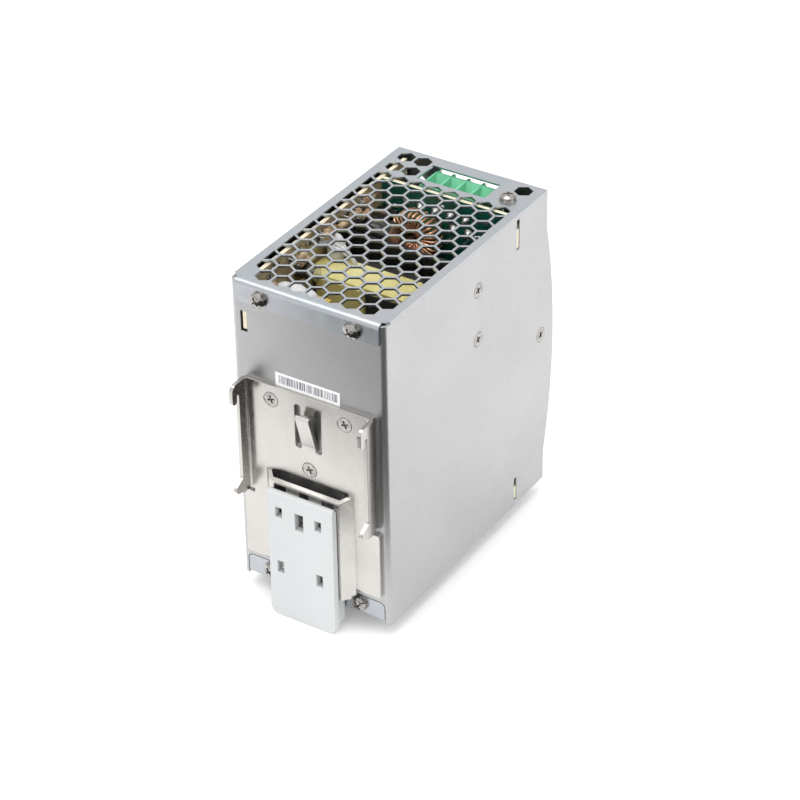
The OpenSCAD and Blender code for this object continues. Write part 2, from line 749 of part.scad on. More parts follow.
// The core's windows in X and Z, one at the front and one at the rear
window_low = [transformer_low[0] + 16, transformer_low[2] + 4];
window_high = [transformer_high[0] - 7.6, transformer_high[2] - 5];
window_depth = 7;

module transformer_core() color("dimgray") in_rail_frame() {
    lo = transformer_low;
    hi = transformer_high;
    difference() {
        block([lo[0] + 3, lo[1], lo[2]], [hi[0] - 4, hi[1], hi[2] - 2]);
        for (y = [lo[1] - 1, hi[1] - window_depth]) along(y, y + window_depth + 1)
            translate(window_low) square(window_high - window_low);
    }
}

module transformer_winding() color("khaki") in_rail_frame() {
    lo = transformer_low;
    hi = transformer_high;
    // tape band around the core
    along(lo[1] + 6.2, hi[1] - 0.3) difference() {
        round_box([lo[0], lo[2] - 2.6], [hi[0], hi[2]], 2.2);
        translate([lo[0] + 3 - gap, lo[2] - gap])
            square([hi[0] - lo[0] - 7 + 2 * gap, hi[2] - lo[2] - 2 + 2 * gap]);
        // open behind the core's window
        translate(window_low) square([window_high[0] - window_low[0], 1]);
    }
    // outer turns behind the core, under the last layer of tape
    block([window_low[0], hi[1] + gap, window_low[1]], [window_high[0] + 1.2, hi[1] + 1.4, hi[2] - 0.5]);
    // windings in the core's two windows
    for (y = [lo[1] - 1.5, hi[1] - window_depth + gap]) along(y, y + window_depth + 1.5 - gap)
        translate(window_low + [gap, gap]) square(window_high - window_low - [2 * gap, 2 * gap]);
}

module boost_choke_core() color("dimgray") in_rail_frame() {
    lo = choke_low;
    hi = choke_high;
    block([lo[0], lo[1], lo[2]], [hi[0], hi[1], lo[2] + 5]);
    block([lo[0], lo[1], hi[2] - 5], [hi[0], hi[1], hi[2]]);
    block([lo[0] + 8, lo[1] + 3, lo[2] + 1], [hi[0] - 8, hi[1] - 3, hi[2] - 1]);
    // plinth that carries the choke on the board
    block([lo[0], lo[1], lo[2] - 3], [board_x - gap, hi[1], lo[2]]);
}

module boost_choke_winding() color("khaki") in_rail_frame() {
    lo = choke_low;
    hi = choke_high;
    translate([0, 0, lo[2] + 5 + gap]) linear_extrude(hi[2] - lo[2] - 10 - 2 * gap) difference() {
        round_box([lo[0] + 0.5, lo[1] - 0.6], [hi[0] - 0.5, hi[1] + 0.6], 4);
        translate([lo[0] + 8 - gap, lo[1] + 3 - gap]) square([hi[0] - lo[0] - 16 + 2 * gap,
                                                              hi[1] - lo[1] - 6 + 2 * gap]);
    }
}

// Ring of the toroid, lying in a plane across the case, with its corners in R and Y
toroid_in = 3.6;
toroid_out = 9.2;
toroid_half_w = 3;
wire_build = 1;

module toroid_ring() {
    translate(toroid_at) rotate([90, 0, 0]) rotate_extrude() children();
}

module toroid_core() color("darkolivegreen") in_rail_frame() {
    toroid_ring() translate([toroid_in, -toroid_half_w]) square([toroid_out - toroid_in, 2 * toroid_half_w]);
}

module toroid_winding() color("peru") in_rail_frame() {
    toroid_ring() difference() {
        translate([toroid_in - wire_build, -toroid_half_w - wire_build])
            square([toroid_out - toroid_in + 2 * wire_build, 2 * toroid_half_w + 2 * wire_build]);
        translate([toroid_in - gap, -toroid_half_w - gap])
            square([toroid_out - toroid_in + 2 * gap, 2 * toroid_half_w + 2 * gap]);
    }
}

// Foot that the toroid is glued to, on the board
module toroid_foot() color("black") in_rail_frame() {
    block([toroid_at[0] + toroid_out + wire_build + gap, toroid_at[1] - 4.4, toroid_at[2] - 5],
          [board_x - gap, toroid_at[1] + 4.4, toroid_at[2] + 5]);
}

module capacitor_x(p, r, x0, x1) {
    difference() {
        rod_x(p, r, x0, x1);
        translate([x0 + 2.2, p[0], p[1]]) rotate([0, 90, 0])
            rotate_extrude() translate([r + 0.1, 0]) circle(0.7);
    }
}

module bulk_capacitors() color("black") in_rail_frame() {
    for (y = [17.5, 41]) capacitor_x([y, 62.5], 11, -16, board_x - gap);
}

module output_capacitors() color("black") in_rail_frame() {
    for (y = [-22.5, -11.5]) capacitor_x([y, 82], 5, 0, board_x - gap);
    capacitor_x([-1, 74], 5, 0, board_x - gap);
}

module wall_heatsink() color("dimgray") in_rail_frame() {
    difference() {
        union() {
            block([-30, -12, 40], [-27, 34, 116]);
            for (y = [10 : 6 : 34]) block([-27.1, y - 2, 44], [-22.5, y - 0.8, 112]);
        }
        for (p = wall_screws) rod_x(p, hole_r, -31, -26);
    }
}

module thermal_pad() color("lightpink") in_rail_frame() {
    difference() {
        block([-30.45, -12, 40], [-30.05, 34, 116]);
        for (p = wall_screws) rod_x(p, 2, -31, -26);
    }
}

module power_transistors() color("black") in_rail_frame() {
    for (z = [93.5, 74]) {
        block([-26.95, -8, z - 5], [-22.6, 2, z + 4]);
        block([-26.95, -8, z - 9], [-26.1, 2, z - 5]);
    }
}

module output_heatsink() color("dimgray") in_rail_frame() {
    block([-21, -2.5, 83], [board_x - gap, 0, 117]);
    for (x = [-18, -10]) block([x, -0.1, 86], [x + 1.4, 1.2, 115]);
}

module output_rectifiers() color("black") in_rail_frame() {
    for (x = [-20.5, -8]) block([x, -7.3, 92], [x + 10, -2.55, 112]);
}

module bridge_rectifier() color("black") in_rail_frame() {
    difference() {
        block([-5, 30, 22], [board_x - gap, 34.5, 42]);
        rod_y([10, 37], 1.8, 29, 36);
    }
}

module line_choke() color("peru") in_rail_frame() {
    difference() {
        union() {
            block([-4, -22, 20], [16, -6, 48]);
            block([-6, -24, 24], [18, -4, 32]);
            block([-6, -24, 36], [18, -4, 44]);
        }
        block([2, -30, 30], [10, 0, 38]);
    }
    block([18 - gap, -18, 30], [board_x - gap, -10, 38]);
}

module film_capacitors() color("gold") in_rail_frame() {
    block([5, 34, 92], [board_x - gap, 44.5, 112]);
    block([6, 2, 20], [board_x - gap, 20, 32]);
    block([6, 2, 36], [board_x - gap, 20, 48]);
    block([2, -25, 50], [board_x - gap, -12, 61.5]);
}

module disc_parts() color("steelblue") in_rail_frame() {
    for (y = [40, 47]) rod_y([14, 18], 5.5, y, y + 3);
    rod_y([12, 12.6], 7, -4, 0);
}

module fuse() color("white") in_rail_frame() {
    rod_x([-14, 12], 2.6, 2, board_x - 2);
    for (x = [2, board_x - 6]) rod_x([-14, 12], 3, x, x + 4);
}

module adhesive_blobs() color("white") in_rail_frame() {
    difference() {
        for (p = [[11.6, 40, 4.4], [16.4, 39.6, 4.8], [20.7, 39.8, 4.4]])
            translate([p[0], p[1], 112.5]) sphere(p[2]);
        block([0, 20, 100], [30, 50, 112]);
    }
}

// ---------------------------------------------------------------- nodes

housing_shell();
top_cover();
bottom_cover();
front_panel();
front_label();
serial_sticker();
din_bracket();
latch_slider();
latch_spring();
bracket_screws();
cover_screws();
side_screws();
main_board();
front_board();
board_link();
board_standoffs();
board_screws();
insulation_sheet();
output_terminal_body();
output_contacts();
output_screw_1();
output_screw_2();
output_screw_3();
output_screw_4();
output_clamp_1();
output_clamp_2();
output_clamp_3();
output_clamp_4();
input_terminal_body();
input_contacts();
input_screw_1();
input_screw_2();
input_screw_3();
input_clamp_1();
input_clamp_2();
input_clamp_3();
trim_pot_body();
trim_pot_rotor();
led_holder();
status_led();
transformer_core();
transformer_winding();
boost_choke_core();
boost_choke_winding();
toroid_core();
toroid_winding();
toroid_foot();
bulk_capacitors();
output_capacitors();
wall_heatsink();
thermal_pad();
power_transistors();
output_heatsink();
output_rectifiers();
bridge_rectifier();
line_choke();
film_capacitors();
disc_parts();
fuse();
adhesive_blobs();
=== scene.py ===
"""Looks of a sheet-metal power supply that hooks onto a 35 mm rail: materials, printed bars, wound wire,
small parts on the boards, studio light and the camera. Everything is in metres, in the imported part's frame,
whose origin is on the rail's centre line with +Y out of the rear wall and +Z up."""

import json
import math
import random
from itertools import product

import bmesh
import bpy
from mathutils import Matrix, Vector


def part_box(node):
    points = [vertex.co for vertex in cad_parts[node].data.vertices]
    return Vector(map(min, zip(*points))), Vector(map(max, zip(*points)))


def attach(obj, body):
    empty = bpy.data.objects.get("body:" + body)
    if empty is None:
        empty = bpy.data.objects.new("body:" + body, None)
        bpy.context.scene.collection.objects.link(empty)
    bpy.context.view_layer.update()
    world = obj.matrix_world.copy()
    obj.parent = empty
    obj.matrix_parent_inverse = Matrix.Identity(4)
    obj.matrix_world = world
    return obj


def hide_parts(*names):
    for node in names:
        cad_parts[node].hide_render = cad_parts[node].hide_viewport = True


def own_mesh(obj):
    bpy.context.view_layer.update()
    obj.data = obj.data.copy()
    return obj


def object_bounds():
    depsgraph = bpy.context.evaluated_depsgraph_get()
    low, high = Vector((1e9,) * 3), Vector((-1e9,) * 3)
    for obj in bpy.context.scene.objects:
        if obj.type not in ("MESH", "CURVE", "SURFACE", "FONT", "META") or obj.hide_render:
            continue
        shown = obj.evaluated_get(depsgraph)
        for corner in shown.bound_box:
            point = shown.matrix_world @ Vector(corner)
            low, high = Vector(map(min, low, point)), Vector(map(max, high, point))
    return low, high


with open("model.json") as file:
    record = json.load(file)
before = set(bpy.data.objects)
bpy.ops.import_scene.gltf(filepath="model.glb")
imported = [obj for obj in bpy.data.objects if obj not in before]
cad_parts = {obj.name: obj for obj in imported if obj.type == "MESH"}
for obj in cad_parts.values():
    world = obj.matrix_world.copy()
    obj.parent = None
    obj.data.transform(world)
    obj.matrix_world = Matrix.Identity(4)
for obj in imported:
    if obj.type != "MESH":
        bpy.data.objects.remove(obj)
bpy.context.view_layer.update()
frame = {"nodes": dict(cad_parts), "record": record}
NODES = frame["nodes"]
MM = 0.001
SEED = 35

# ---------------------------------------------------------------- camera

CAMERA_AT = Vector((-463.0, 652.2, 552.2)) * MM
CAMERA_AZIMUTH = math.radians(-147.08)
CAMERA_ELEVATION = math.radians(33.5)
CAMERA_ROLL = math.radians(-0.86)
CAMERA_LENS = 126.3
SENSOR = 36.0


def make_camera():
    data = bpy.data.cameras.new("camera")
    data.sensor_width = SENSOR
    data.lens = CAMERA_LENS
    data.clip_start = 0.01
    data.clip_end = 20
    camera = bpy.data.objects.new("camera", data)
    bpy.context.scene.collection.objects.link(camera)
    bpy.context.scene.camera = camera
    flat = math.cos(CAMERA_ELEVATION)
    back = Vector((math.sin(CAMERA_AZIMUTH) * flat, -math.cos(CAMERA_AZIMUTH) * flat,
                   math.sin(CAMERA_ELEVATION)))
    upright = (-back).to_track_quat("-Z", "Y").to_matrix().to_4x4()
    roll = Matrix.Rotation(CAMERA_ROLL, 4, "Z")
    camera.matrix_world = Matrix.Translation(CAMERA_AT) @ upright @ roll


make_camera()

# ---------------------------------------------------------------- shader helpers


class Shader:
    """One material with a Principled shader, and short calls that add textures to it."""

    def __init__(self, name, **sockets):
        self.material = bpy.data.materials.new(name)
        self.material.use_nodes = True
        self.tree = self.material.node_tree
        self.main = self.tree.nodes["Principled BSDF"]
        for socket, value in sockets.items():
            self.main.inputs[socket.replace("_", " ")].default_value = value
        self.place = self.tree.nodes.new("ShaderNodeTexCoord").outputs["Object"]

    def node(self, kind, **settings):
        made = self.tree.nodes.new("ShaderNode" + kind)
        for key, value in settings.items():
            setattr(made, key, value)
        return made

    def link(self, a, b):
        self.tree.links.new(a, b)

    def stretched(self, scale):
        """The object's coordinates, scaled along each axis."""
        mapping = self.node("Mapping")
        mapping.inputs["Scale"].default_value = scale
        self.link(self.place, mapping.inputs["Vector"])
        return mapping.outputs["Vector"]

    def noise(self, scale, detail=3.0, rough=0.55, stretch=None):
        """Soft clouds, 0..1; scale is in clouds per metre."""
        made = self.node("TexNoise")
        made.inputs["Scale"].default_value = scale
        made.inputs["Detail"].default_value = detail
        made.inputs["Roughness"].default_value = rough
        self.link(self.stretched(stretch) if stretch else self.place, made.inputs["Vector"])
        return made.outputs["Fac"]

    def spread(self, value, low, high, from_low=0.3, from_high=0.7):
        """A 0..1 value, stretched to run from low to high."""
        made = self.node("MapRange")
        self.link(value, made.inputs["Value"])
        made.inputs["From Min"].default_value = from_low
        made.inputs["From Max"].default_value = from_high
        made.inputs["To Min"].default_value = low
        made.inputs["To Max"].default_value = high
        return made.outputs["Result"]

    def ramp(self, value, stops):
        """Colours blended along a value: stops are (position, (r, g, b))."""
        made = self.node("ValToRGB")
        elements = made.color_ramp.elements
        while len(elements) < len(stops):
            elements.new(0.5)
        for element, (at, colour) in zip(elements, stops):
            element.position = at
            element.color = (*colour, 1)
        self.link(value, made.inputs["Fac"])
        return made.outputs["Color"]

    def mix(self, share, a, b):
        """Colour a to colour b by share, which is an output; a and b are colours or outputs."""
        made = self.node("Mix", data_type="RGBA")
        self.link(share, made.inputs[0])
        for name, value in (("A", a), ("B", b)):
            target = [i for i in made.inputs if i.name == name and i.type == "RGBA"][0]
            if isinstance(value, bpy.types.NodeSocket):
                self.link(value, target)
            else:
                target.default_value = (*value, 1)
        return [o for o in made.outputs if o.type == "RGBA"][0]

    def facing(self, axis):
        """1 on faces that look along the axis, and 0 on the edges between them."""
        square_on = 0.7
        split = self.node("SeparateXYZ")
        self.link(self.node("NewGeometry").outputs["True Normal"], split.inputs["Vector"])
        size = self.node("Math", operation="ABSOLUTE")
        self.link(split.outputs[axis], size.inputs[0])
        made = self.node("Math", operation="GREATER_THAN")
        self.link(size.outputs[0], made.inputs[0])
        made.inputs[1].default_value = square_on
        return made.outputs[0]

    def colour(self, output):
        self.link(output, self.main.inputs["Base Color"])
        return self

    def roughness(self, output):
        self.link(output, self.main.inputs["Roughness"])
        return self

    def bump(self, height, distance):
        """Adds a bump on top of those already made. distance is in metres."""
        made = self.node("Bump")
        made.inputs["Distance"].default_value = distance
        self.link(height, made.inputs["Height"])
        normal = self.main.inputs["Normal"]
        if normal.is_linked:
            self.link(normal.links[0].from_socket, made.inputs["Normal"])
        self.link(made.outputs["Normal"], normal)
        return self

    def round_edges(self, radius):
        """Edges that catch the light as if rounded. Called before any bump."""
        made = self.node("Bevel", samples=4)
        made.inputs["Radius"].default_value = radius
        self.link(made.outputs["Normal"], self.main.inputs["Normal"])
        return self


def grey(v):
    return (v, v, v)


# ---------------------------------------------------------------- materials


def case_sheet():
    """Satin aluminium sheet, brushed along its length, with faint clouds."""
    s = Shader("case_sheet", Metallic=1.0)
    s.round_edges(0.35 * MM)
    grain = s.noise(45, 4, 0.65, (7, 7, 110))
    cloudy = s.ramp(s.noise(28, 3), [(0.3, grey(0.475)), (0.7, grey(0.525))])
    s.colour(s.mix(s.spread(grain, 0, 0.45), cloudy, (0.37, 0.37, 0.38)))
    s.roughness(s.spread(grain, 0.34, 0.46))
    s.bump(grain, 0.003 * MM)
    return s.material


def cover_sheet():
    """Zinc-plated steel with a cool tint that drifts between blue, green and pink."""
    s = Shader("cover_sheet", Metallic=1.0)
    s.round_edges(0.25 * MM)
    tint = s.ramp(s.noise(45, 2), [(0.3, (0.44, 0.47, 0.51)), (0.5, (0.46, 0.49, 0.51)),
                                   (0.62, (0.49, 0.49, 0.52)), (0.75, (0.44, 0.49, 0.50))])
    fine = s.noise(900, 2)
    drawn = s.noise(60, 3, 0.6, (90, 4, 4))
    s.colour(s.mix(s.spread(fine, 0, 0.3), s.mix(s.spread(drawn, 0, 0.2), tint, (0.55, 0.57, 0.59)),
                   (0.38, 0.42, 0.46)))
    s.roughness(s.spread(s.noise(300, 3), 0.28, 0.42))
    s.bump(fine, 0.003 * MM)
    return s.material


def bracket_sheet():
    """Bright nickel plate over rolled steel, warm, speckled, with a fine orange peel."""
    s = Shader("bracket_sheet", Metallic=1.0)
    s.round_edges(0.35 * MM)
    peel = s.noise(1500, 2)
    speckle = s.noise(2600, 2)
    warm = s.ramp(s.noise(60, 3), [(0.3, (0.54, 0.525, 0.50)), (0.7, (0.63, 0.615, 0.59))])
    s.colour(s.mix(s.spread(speckle, 0, 0.5, 0.4, 0.75), warm, (0.40, 0.375, 0.35)))
    s.roughness(s.spread(s.noise(2400, 2), 0.20, 0.28))
    s.bump(peel, 0.003 * MM)
    return s.material


def plated_screw():
    """Bright nickel-plated screws."""
    s = Shader("plated_screw", Metallic=1.0)
    s.round_edges(0.15 * MM)
    s.colour(s.ramp(s.noise(800, 2), [(0.3, (0.26, 0.25, 0.24)), (0.7, (0.50, 0.48, 0.455))]))
    s.roughness(s.spread(s.noise(1200, 2), 0.03, 0.12))
    return s.material


def spring_wire():
    s = Shader("spring_wire", Metallic=1.0)
    s.colour(s.ramp(s.noise(2000, 2), [(0.3, grey(0.40)), (0.7, grey(0.55))]))
    s.roughness(s.spread(s.noise(1500, 2), 0.18, 0.3))
    return s.material


def latch_plastic():
    """Natural white polyamide, slightly translucent, with faint flow marks."""
    s = Shader("latch_plastic", Subsurface_Weight=0.35, Subsurface_Scale=1.6 * MM)
    s.main.inputs["Subsurface Radius"].default_value = (1.0, 0.95, 0.9)
    s.round_edges(0.5 * MM)
    flow = s.noise(40, 3, 0.5, (1, 1, 0.4))
    s.colour(s.ramp(flow, [(0.3, (0.56, 0.575, 0.58)), (0.7, (0.61, 0.625, 0.63))]))
    s.roughness(s.spread(s.noise(700, 3), 0.38, 0.5))
    s.bump(s.noise(1800, 2), 0.004 * MM)
    return s.material


def terminal_plastic():
    """Light green moulded plastic."""
    s = Shader("terminal_plastic", Subsurface_Weight=0.12, Subsurface_Scale=0.8 * MM)
    s.main.inputs["Subsurface Radius"].default_value = (0.4, 1.0, 0.5)
    s.round_edges(0.2 * MM)
    s.colour(s.ramp(s.noise(90, 2), [(0.3, (0.13, 0.47, 0.27)), (0.7, (0.17, 0.55, 0.32))]))
    s.roughness(s.spread(s.noise(900, 2), 0.35, 0.5))
    s.bump(s.noise(2500, 2), 0.004 * MM)
    return s.material


def clamp_metal():
    s = Shader("clamp_metal", Metallic=1.0)
    s.round_edges(0.1 * MM)
    s.colour(s.ramp(s.noise(900, 3), [(0.3, (0.52, 0.54, 0.58)), (0.7, (0.72, 0.73, 0.74))]))
    s.roughness(s.spread(s.noise(1500, 2), 0.22, 0.38))
    return s.material


def laminate(name, axis, face_low, face_high, edge):
    """Circuit board: faces that look along the axis, the glass weave just showing, and pale sawn edges."""
    s = Shader(name, Coat_Weight=0.3, Coat_Roughness=0.15)
    weave = s.node("TexWave", wave_type="BANDS", bands_direction="DIAGONAL")
    weave.inputs["Scale"].default_value = 900
    weave.inputs["Distortion"].default_value = 1.5
    s.link(s.place, weave.inputs["Vector"])
    sawn = s.ramp(s.noise(500, 3), [(0.3, edge), (0.7, tuple(c * 0.8 for c in edge))])
    s.colour(s.mix(s.facing(axis), sawn, s.ramp(s.noise(120, 4), [(0.3, face_low), (0.7, face_high)])))
    s.roughness(s.spread(s.noise(800, 2), 0.3, 0.45))
    s.bump(weave.outputs["Fac"], 0.006 * MM)
    return s.material


def dark_plastic(name, base, rough=(0.3, 0.5)):
    s = Shader(name)
    s.round_edges(0.2 * MM)
    s.colour(s.ramp(s.noise(300, 3), [(0.3, base), (0.7, tuple(c * 1.6 + 0.005 for c in base))]))
    s.roughness(s.spread(s.noise(900, 3), *rough))
    s.bump(s.noise(3000, 2), 0.005 * MM)
    return s.material


def mottled(name, low, high, scale=200, rough=(0.4, 0.6), peel=0.004, metallic=0.0, coat=0.0):
    """General finish: two shades in clouds, a fine peel and varied gloss."""
    s = Shader(name, Metallic=metallic, Coat_Weight=coat, Coat_Roughness=0.1)
    s.round_edges(0.15 * MM)
    s.colour(s.ramp(s.noise(scale, 4), [(0.3, low), (0.7, high)]))
    s.roughness(s.spread(s.noise(scale * 5, 3), *rough))
    s.bump(s.noise(scale * 8, 2), peel * MM)
    return s.material


def wound_tape():
    """Pale yellow polyester tape, wound in layers whose edges show."""
    s = Shader("wound_tape", Coat_Weight=0.4, Coat_Roughness=0.12)
    layers = s.noise(40, 3, 0.6, (1, 22, 1))
    s.colour(s.ramp(s.noise(55, 4), [(0.25, (0.58, 0.49, 0.14)), (0.5, (0.72, 0.65, 0.26)),
                                     (0.75, (0.80, 0.76, 0.40))]))
    s.roughness(s.spread(layers, 0.25, 0.45))
    s.bump(layers, 0.06 * MM)
    s.bump(s.noise(160, 3), 0.03 * MM)
    return s.material


def label_film():
    """Front label without text: a pale field with a plain band and five ruled lines."""
    s = Shader("label_film", Coat_Weight=0.2, Coat_Roughness=0.3)
    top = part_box("front_label")[1].z
    split = s.node("SeparateXYZ")
    s.link(s.place, split.inputs["Vector"])

    def band(z_low, z_high):
        above = s.node("Math", operation="GREATER_THAN")
        s.link(split.outputs["Z"], above.inputs[0])
        above.inputs[1].default_value = z_low
        below = s.node("Math", operation="LESS_THAN")
        s.link(split.outputs["Z"], below.inputs[0])
        below.inputs[1].default_value = z_high
        both = s.node("Math", operation="MULTIPLY")
        s.link(above.outputs[0], both.inputs[0])
        s.link(below.outputs[0], both.inputs[1])
        return both.outputs[0]

    field = s.ramp(s.noise(200, 3), [(0.3, (0.70, 0.72, 0.74)), (0.7, (0.76, 0.78, 0.80))])
    painted = s.mix(band(top - 12 * MM, top - 3 * MM), field, (0.09, 0.22, 0.34))
    first_line, line_step, line_width = 22, 7, 0.4
    for k in range(5):
        z = top - (first_line + line_step * k) * MM
        painted = s.mix(band(z, z + line_width * MM), painted, (0.25, 0.27, 0.30))
    s.colour(painted)
    s.roughness(s.spread(s.noise(900, 2), 0.35, 0.5))
    s.bump(s.noise(2500, 2), 0.003 * MM)
    return s.material


def copper_wire():
    s = Shader("copper_wire", Metallic=0.6, Coat_Weight=0.8, Coat_Roughness=0.08)
    s.colour(s.ramp(s.noise(300, 3), [(0.3, (0.82, 0.38, 0.20)), (0.7, (0.98, 0.56, 0.36))]))
    s.roughness(s.spread(s.noise(900, 2), 0.2, 0.35))
    return s.material


def clear_led():
    s = Shader("clear_led", Transmission_Weight=0.7, IOR=1.5)
    s.colour(s.ramp(s.noise(300, 2), [(0.3, (0.06, 0.50, 0.12)), (0.7, (0.10, 0.66, 0.20))]))
    s.roughness(s.spread(s.noise(600, 2), 0.08, 0.16))
    return s.material


MADE = {
    "case_aluminium": case_sheet(),
    "zinc_steel": cover_sheet(),
    "label_film": label_film(),
    "sticker_paper": mottled("sticker_paper", grey(0.80), grey(0.88), 700, (0.5, 0.65), 0.003),
    "nickel_steel": bracket_sheet(),
    "latch_plastic": latch_plastic(),
    "spring_steel": spring_wire(),
    "screw_nickel": plated_screw(),
    "board_tan": laminate("board_tan", "X", (0.30, 0.24, 0.12), (0.46, 0.38, 0.22), (0.78, 0.70, 0.52)),
    "board_green": laminate("board_green", "Y", (0.003, 0.075, 0.05), (0.006, 0.12, 0.08),
                            (0.74, 0.70, 0.52)),
    "black_plastic": dark_plastic("black_plastic", grey(0.012)),
    "brass": mottled("turned_brass", (0.55, 0.42, 0.18), (0.70, 0.56, 0.28), 500, (0.2, 0.35), 0.002, 1.0),
    "sheet_fibre": mottled("fibre_sheet", (0.016, 0.014, 0.012), (0.03, 0.027, 0.024), 400, (0.5, 0.7), 0.01),
    "terminal_green": terminal_plastic(),
    "tinned_brass": mottled("tin_plate", grey(0.55), grey(0.68), 600, (0.25, 0.4), 0.003, 1.0),
    "clamp_steel": clamp_metal(),
    "pot_plastic": mottled("pot_plastic", (0.012, 0.016, 0.03), (0.02, 0.026, 0.045), 300, (0.3, 0.45)),
    "rotor_white": mottled("rotor_white", grey(0.72), grey(0.82), 300, (0.4, 0.5)),
    "led_green": clear_led(),
    "ferrite": mottled("ferrite", grey(0.018), grey(0.04), 500, (0.35, 0.6), 0.012),
    "tape_yellow": wound_tape(),
    "toroid_paint": mottled("toroid_paint", (0.05, 0.08, 0.03), (0.09, 0.13, 0.05), 300, (0.25, 0.4)),
    "copper_wire": copper_wire(),
    "sleeve_black": mottled("shrink_sleeve", grey(0.008), grey(0.02), 120, (0.12, 0.28), 0.02, 0.0, 0.5),
    "heatsink_black": mottled("black_anodised", grey(0.012), grey(0.03), 400, (0.3, 0.45), 0.006, 0.6),
    "pad_silicone": mottled("pad_silicone", (0.48, 0.30, 0.32), (0.58, 0.40, 0.42), 500, (0.6, 0.8), 0.01),
    "film_yellow": mottled("film_yellow", (0.48, 0.30, 0.03), (0.60, 0.42, 0.06), 200, (0.15, 0.3)),
    "disc_blue": mottled("disc_blue", (0.03, 0.09, 0.28), (0.06, 0.14, 0.38), 300, (0.25, 0.4), 0.01),
    "fuse_ceramic": mottled("fuse_ceramic", grey(0.66), grey(0.76), 300, (0.3, 0.45)),
    "silicone_white": mottled("silicone_white", grey(0.74), grey(0.84), 90, (0.3, 0.45), 0.08),
}


def paint_cad_nodes():
    for row in frame["record"]["subparts"]:
        target = NODES[row["node"]]
        target.data.materials.clear()
        target.data.materials.append(MADE[row["material_slot"]])


paint_cad_nodes()

# ---------------------------------------------------------------- shapes

Y_AXIS = Vector((0, 1, 0))
SHARP_ABOVE = math.radians(40)


class Shape:
    """Vertices and faces gathered from several simple forms, made into one smooth-shaded piece."""

    def __init__(self):
        self.points = []
        self.faces = []

    def add(self, points, faces):
        start = len(self.points)
        self.points += [tuple(p) for p in points]
        self.faces += [tuple(start + k for k in face) for face in faces]

    def add_rings(self, points, sides):
        """Skins a run of rings, each with the same number of points, and caps both ends."""
        faces = [tuple(range(sides - 1, -1, -1)), tuple(len(points) - sides + k for k in range(sides))]
        for ring in range(len(points) // sides - 1):
            for side in range(sides):
                a = ring * sides + side
                b = ring * sides + (side + 1) % sides
                faces.append((a, b, b + sides, a + sides))
        self.add(points, faces)

    def tube(self, path, radius, sides):
        """Round wire along a path of Vectors."""
        angles = [2 * math.pi * side / sides for side in range(sides)]
        points = []
        normal = None
        for k, point in enumerate(path):
            ahead = (path[min(k + 1, len(path) - 1)] - path[max(k - 1, 0)]).normalized()
            if normal is None:
                normal = ahead.orthogonal()
            normal = (normal - ahead * normal.dot(ahead)).normalized()
            across = ahead.cross(normal)
            points += [point + (normal * math.cos(a) + across * math.sin(a)) * radius for a in angles]
        self.add_rings(points, sides)

    def lathe(self, foot, axis, outline, sides):
        """A turned form: outline is a list of (distance along the axis, radius) from the foot."""
        axis = Vector(axis).normalized()
        side_a = axis.orthogonal()
        side_b = axis.cross(side_a)
        points = []
        for along, radius in outline:
            for k in range(sides):
                a = 2 * math.pi * k / sides
                points.append(foot + axis * along + (side_a * math.cos(a) + side_b * math.sin(a)) * radius)
        self.add_rings(points, sides)

    def chip(self, middle, size, chamfer):
        """A box with chamfered edges, as moulded parts have. Each axis has eight points, on the two faces that
        it passes through. They are numbered by their signs in x, y and z, read as a binary number."""
        half = Vector(size) / 2
        points = []
        for axis in range(3):
            for signs in product((-1, 1), repeat=3):
                points.append(tuple(middle[k] + signs[k] * (half[k] - (0 if k == axis else chamfer))
                                    for k in range(3)))
        faces = []
        for axis in range(3):
            one, two = [k for k in range(3) if k != axis]
            for sign in (0, 1):
                corners = []
                for a, b in ((0, 0), (1, 0), (1, 1), (0, 1)):
                    bits = [0, 0, 0]
                    bits[axis], bits[one], bits[two] = sign, a, b
                    corners.append(axis * 8 + bits[0] * 4 + bits[1] * 2 + bits[2])
                outward = sign == (0 if axis == 1 else 1)
                faces.append(tuple(corners if outward else reversed(corners)))
            for a, b in product((0, 1), repeat=2):
                ends = []
                for t in (0, 1):
                    bits = [0, 0, 0]
                    bits[axis], bits[one], bits[two] = t, a, b
                    ends.append(bits[0] * 4 + bits[1] * 2 + bits[2])
                faces.append((one * 8 + ends[0], one * 8 + ends[1], two * 8 + ends[1], two * 8 + ends[0]))
        for corner in range(8):
            faces.append((corner, 8 + corner, 16 + corner))
        self.add(points, faces)

    def piece(self, name, material, slot, body="case", smooth=True):
        mesh = bpy.data.meshes.new(name)
        mesh.from_pydata(self.points, [], self.faces)
        mesh.validate()
        grid = bmesh.new()
        grid.from_mesh(mesh)
        bmesh.ops.recalc_face_normals(grid, faces=grid.faces)
        grid.to_mesh(mesh)
        grid.free()
        if smooth:
            mesh.shade_smooth()
            mesh.set_sharp_from_angle(angle=SHARP_ABOVE)
        mesh.materials.append(material)
        made = bpy.data.objects.new(name, mesh)
        bpy.context.scene.collection.objects.link(made)
        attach(made, body)
        return made


# ---------------------------------------------------------------- wound and printed pieces


def squared(value):
    """Pushes a sine or cosine outwards, so that a turn of wire is a rounded square and not a circle."""
    return math.copysign(abs(value) ** 0.42, value)


